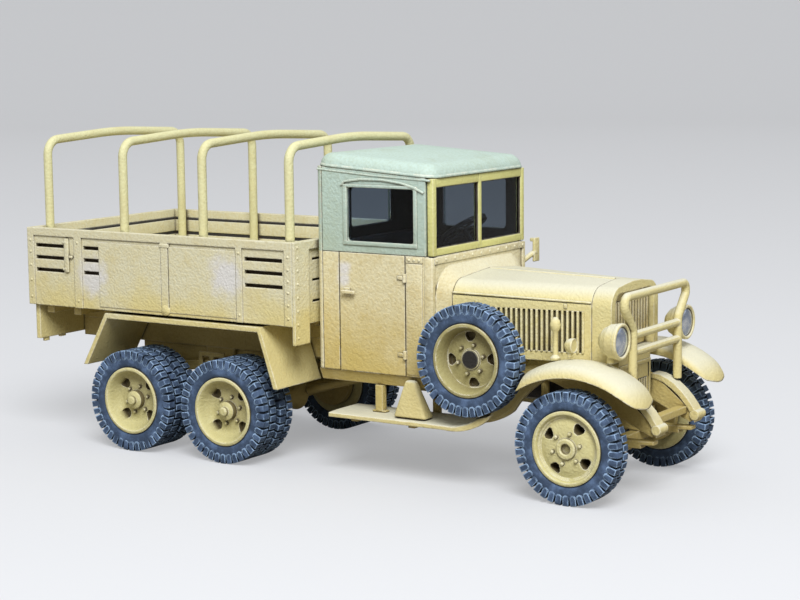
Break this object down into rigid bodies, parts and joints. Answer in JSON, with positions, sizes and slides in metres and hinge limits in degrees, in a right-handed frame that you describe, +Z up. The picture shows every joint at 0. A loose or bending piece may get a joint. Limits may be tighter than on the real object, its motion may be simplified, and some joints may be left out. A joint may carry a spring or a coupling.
{
  "type": "scale model of a six-wheeled military cargo truck",
  "caption": "Painted scale model of an early six-wheeled military cargo truck with a closed cab, open bed under hoops and wheels that turn.",
  "frame": {"origin": "on the ground, under the middle of the model's bounding box", "axes": "+X forward, +Y to the truck's left, +Z up"},
  "size_m": [0.075, 0.0262, 0.0348],
  "materials": {
    "tan_paint": "matt sand paint",
    "grey_green_paint": "matt grey-green paint",
    "two_tone_paint": "sand below, grey-green above",
    "tyre_paint": "matt slate grey paint",
    "clear_plastic": "clear",
    "silver_lens": "silvered clear plastic",
    "dark_interior": "matt dark paint"
  },
  "bodies": {
    "truck": {"bed_bearers": "tan_paint", "bed_floor": "tan_paint", "bed_sides": "tan_paint", "bed_sills": "tan_paint", "board_brackets": "tan_paint", "bonnet": "tan_paint", "brush_guard": "tan_paint", "cab_back": "two_tone_paint", "cab_floor": "tan_paint", "cab_quarters": "tan_paint", "cab_sills": "tan_paint", "cab_uppers": "grey_green_paint", "cowl": "tan_paint", "cross_members": "tan_paint", "doors": "tan_paint", "engine": "dark_interior", "frame_rails": "tan_paint", "front_axle": "tan_paint", "front_knuckles": "tan_paint", "front_springs": "tan_paint", "headboard": "tan_paint", "headlamp_lenses": "silver_lens", "headlamp_shells": "tan_paint", "hoops": "tan_paint", "horn_covers": "tan_paint", "marker_posts": "tan_paint", "mirror_arm": "tan_paint", "mudguards": "tan_paint", "propeller_shafts": "tan_paint", "radiator_grille": "tan_paint", "radiator_shell": "tan_paint", "rear_axles": "tan_paint", "rear_board": "tan_paint", "rear_mudguards": "tan_paint", "rear_springs": "tan_paint", "roof": "grey_green_paint", "seat": "dark_interior", "side_lamps": "tan_paint", "spare_carriers": "tan_paint", "spare_chocks": "tan_paint", "spare_discs": "tan_paint", "spare_tyres": "tyre_paint", "steering_wheel": "dark_interior", "tailgate": "tan_paint", "trunnion": "tan_paint", "window_panes": "clear_plastic", "windscreen_frame": "tan_paint"},
    "front_right_wheel": {"front_right_tyre": "tyre_paint", "front_right_disc": "tan_paint"},
    "front_left_wheel": {"front_left_tyre": "tyre_paint", "front_left_disc": "tan_paint"},
    "middle_right_wheels": {"middle_right_tyres": "tyre_paint", "middle_right_disc": "tan_paint"},
    "middle_left_wheels": {"middle_left_tyres": "tyre_paint", "middle_left_disc": "tan_paint"},
    "rear_right_wheels": {"rear_right_tyres": "tyre_paint", "rear_right_disc": "tan_paint"},
    "rear_left_wheels": {"rear_left_tyres": "tyre_paint", "rear_left_disc": "tan_paint"}
  },
  "joints": [
    {"name": "front_right_wheel_roll", "type": "hinge", "parent": "truck", "child": "front_right_wheel", "pos_m": [0.03005, -0.01005, 0.0056], "axis": [0, 1, 0], "continuous": true},
    {"name": "front_left_wheel_roll", "type": "hinge", "parent": "truck", "child": "front_left_wheel", "pos_m": [0.03005, 0.01005, 0.0056], "axis": [0, 1, 0], "continuous": true},
    {"name": "middle_right_wheels_roll", "type": "hinge", "parent": "truck", "child": "middle_right_wheels", "pos_m": [-0.01016, -0.01054, 0.0056], "axis": [0, 1, 0], "continuous": true},
    {"name": "middle_left_wheels_roll", "type": "hinge", "parent": "truck", "child": "middle_left_wheels", "pos_m": [-0.01016, 0.01054, 0.0056], "axis": [0, 1, 0], "continuous": true},
    {"name": "rear_right_wheels_roll", "type": "hinge", "parent": "truck", "child": "rear_right_wheels", "pos_m": [-0.02294, -0.01054, 0.0056], "axis": [0, 1, 0], "continuous": true},
    {"name": "rear_left_wheels_roll", "type": "hinge", "parent": "truck", "child": "rear_left_wheels", "pos_m": [-0.02294, 0.01054, 0.0056], "axis": [0, 1, 0], "continuous": true}
  ]
}
